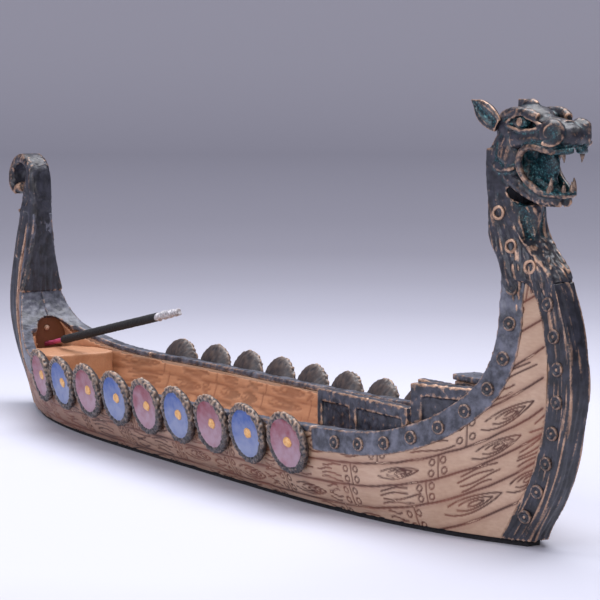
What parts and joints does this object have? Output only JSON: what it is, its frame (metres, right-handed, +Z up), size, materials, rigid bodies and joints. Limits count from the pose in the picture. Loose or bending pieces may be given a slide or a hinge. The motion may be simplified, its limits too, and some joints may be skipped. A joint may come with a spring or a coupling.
{
  "type": "incense burner",
  "caption": "Longship-shaped incense stick burner with a dragon-head prow, scrolled stern, shields along the sides and an ash trough between the bulwarks.",
  "frame": {"origin": "on the standing surface, under the middle of the boat from scroll to bow", "axes": "+X towards the dragon-head bow, +Y to port, +Z up"},
  "size_m": [0.2379, 0.0472, 0.0834],
  "materials": {
    "felt": "matt black felt",
    "carved_planking": "cast resin painted as pinkish tan planks with brown washed grain",
    "deck_wood": "cast resin painted as orange-brown planks",
    "bronzed_resin": "cast resin, blue-black with copper rubbed edges",
    "patina_bronze": "cast resin, blue-black and copper with teal patina in the hollows",
    "shield_red": "dusky red enamel paint on a bronzed rim",
    "shield_blue": "blue enamel paint on a bronzed rim",
    "boss_ochre": "ochre yellow paint",
    "pale_stud": "pale dab of paint",
    "tooth_copper": "rubbed copper paint",
    "dyed_bamboo": "pink dyed bamboo",
    "charcoal": "matt charcoal paste",
    "ash": "pale ash"
  },
  "bodies": {
    "boat": {"base_pad": "felt", "hull_shell": "carved_planking", "stem_post": "bronzed_resin", "stern_scroll": "bronzed_resin", "stern_post": "bronzed_resin", "bow_band_starboard": "bronzed_resin", "stern_band_starboard": "bronzed_resin", "gunwale_rail_starboard": "bronzed_resin", "bow_band_port": "bronzed_resin", "stern_band_port": "bronzed_resin", "gunwale_rail_port": "bronzed_resin", "foredeck": "deck_wood", "bow_plinth": "deck_wood", "bow_plinth_cap": "bronzed_resin", "washboard_aft_starboard": "bronzed_resin", "washboard_fore_starboard": "bronzed_resin", "washboard_aft_port": "bronzed_resin", "washboard_fore_port": "bronzed_resin", "stern_platform": "deck_wood", "stern_stud": "pale_stud", "shield_starboard_1": "shield_red", "shield_starboard_2": "shield_blue", "shield_starboard_3": "shield_red", "shield_starboard_4": "shield_blue", "shield_starboard_5": "shield_red", "shield_starboard_6": "shield_blue", "shield_starboard_7": "shield_red", "shield_starboard_8": "shield_blue", "shield_starboard_9": "shield_red", "shield_bosses_starboard": "boss_ochre", "shield_port_1": "shield_red", "shield_port_2": "shield_blue", "shield_port_3": "shield_red", "shield_port_4": "shield_blue", "shield_port_5": "shield_red", "shield_port_6": "shield_blue", "shield_port_7": "shield_red", "shield_port_8": "shield_blue", "shield_port_9": "shield_red", "shield_bosses_port": "boss_ochre", "dragon_neck": "bronzed_resin", "dragon_skull": "patina_bronze", "lower_jaw": "patina_bronze", "ear_starboard": "patina_bronze", "eye_starboard": "patina_bronze", "brow_starboard": "patina_bronze", "nostril_starboard": "patina_bronze", "band_rings_starboard": "bronzed_resin", "stem_rings_starboard": "bronzed_resin", "ear_port": "patina_bronze", "eye_port": "patina_bronze", "brow_port": "patina_bronze", "nostril_port": "patina_bronze", "band_rings_port": "bronzed_resin", "stem_rings_port": "bronzed_resin", "upper_fangs": "tooth_copper", "lower_teeth": "tooth_copper"},
    "incense_stick": {"bamboo_core": "dyed_bamboo", "charcoal_coat": "charcoal", "ash_tip": "ash"}
  },
  "joints": [
    {"name": "stick_slide", "type": "slide", "parent": "boat", "child": "incense_stick", "axis": [0.9785, 0, 0.2062], "range_m": [0, 0.06]}
  ]
}
